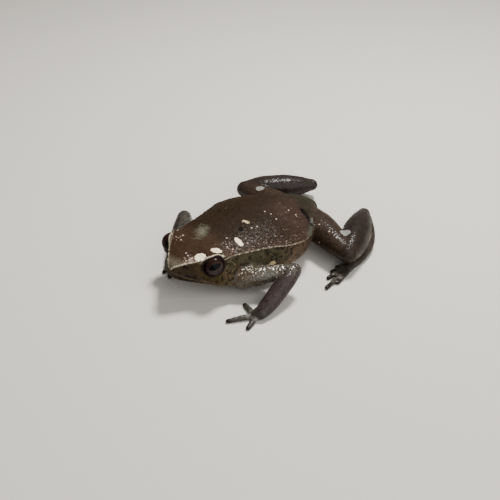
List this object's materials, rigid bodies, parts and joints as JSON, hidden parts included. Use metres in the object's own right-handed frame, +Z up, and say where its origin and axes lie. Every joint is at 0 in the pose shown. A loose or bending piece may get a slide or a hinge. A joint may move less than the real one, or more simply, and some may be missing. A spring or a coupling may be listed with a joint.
{
  "type": "black-spotted sticky frog",
  "caption": "Life-size still model of a brown ground frog crouching on the floor, with folded legs, flat back, side folds and pale spots.",
  "frame": {"origin": "middle of the model's footprint, on the floor", "axes": "+Z up, the frog faces -Y, its left side is at +X"},
  "size_m": [0.0396, 0.0512, 0.0113],
  "materials": {
    "back_skin": "damp maroon-brown skin, finely granular, with pale spots and a pale beaded side fold",
    "throat_skin": "damp olive skin with dark mottling and a pale lip edge",
    "limb_skin": "wet purple-brown skin with pale granules",
    "digit_skin": "damp grey-brown skin, darker at the tips",
    "eye": "wet, clear and glossy over a dark iris"
  },
  "bodies": {
    "root": {"head": "back_skin", "torso": "back_skin", "lower_jaw": "throat_skin", "eye_left": "eye", "eye_right": "eye", "upper_arm_left": "limb_skin", "upper_arm_right": "limb_skin", "forearm_left": "limb_skin", "forearm_right": "limb_skin", "thigh_left": "limb_skin", "thigh_right": "limb_skin", "shank_left": "limb_skin", "shank_right": "limb_skin", "hand_left": "digit_skin", "hand_right": "digit_skin", "foot_left": "digit_skin", "foot_right": "digit_skin"}
  },
  "joints": []
}
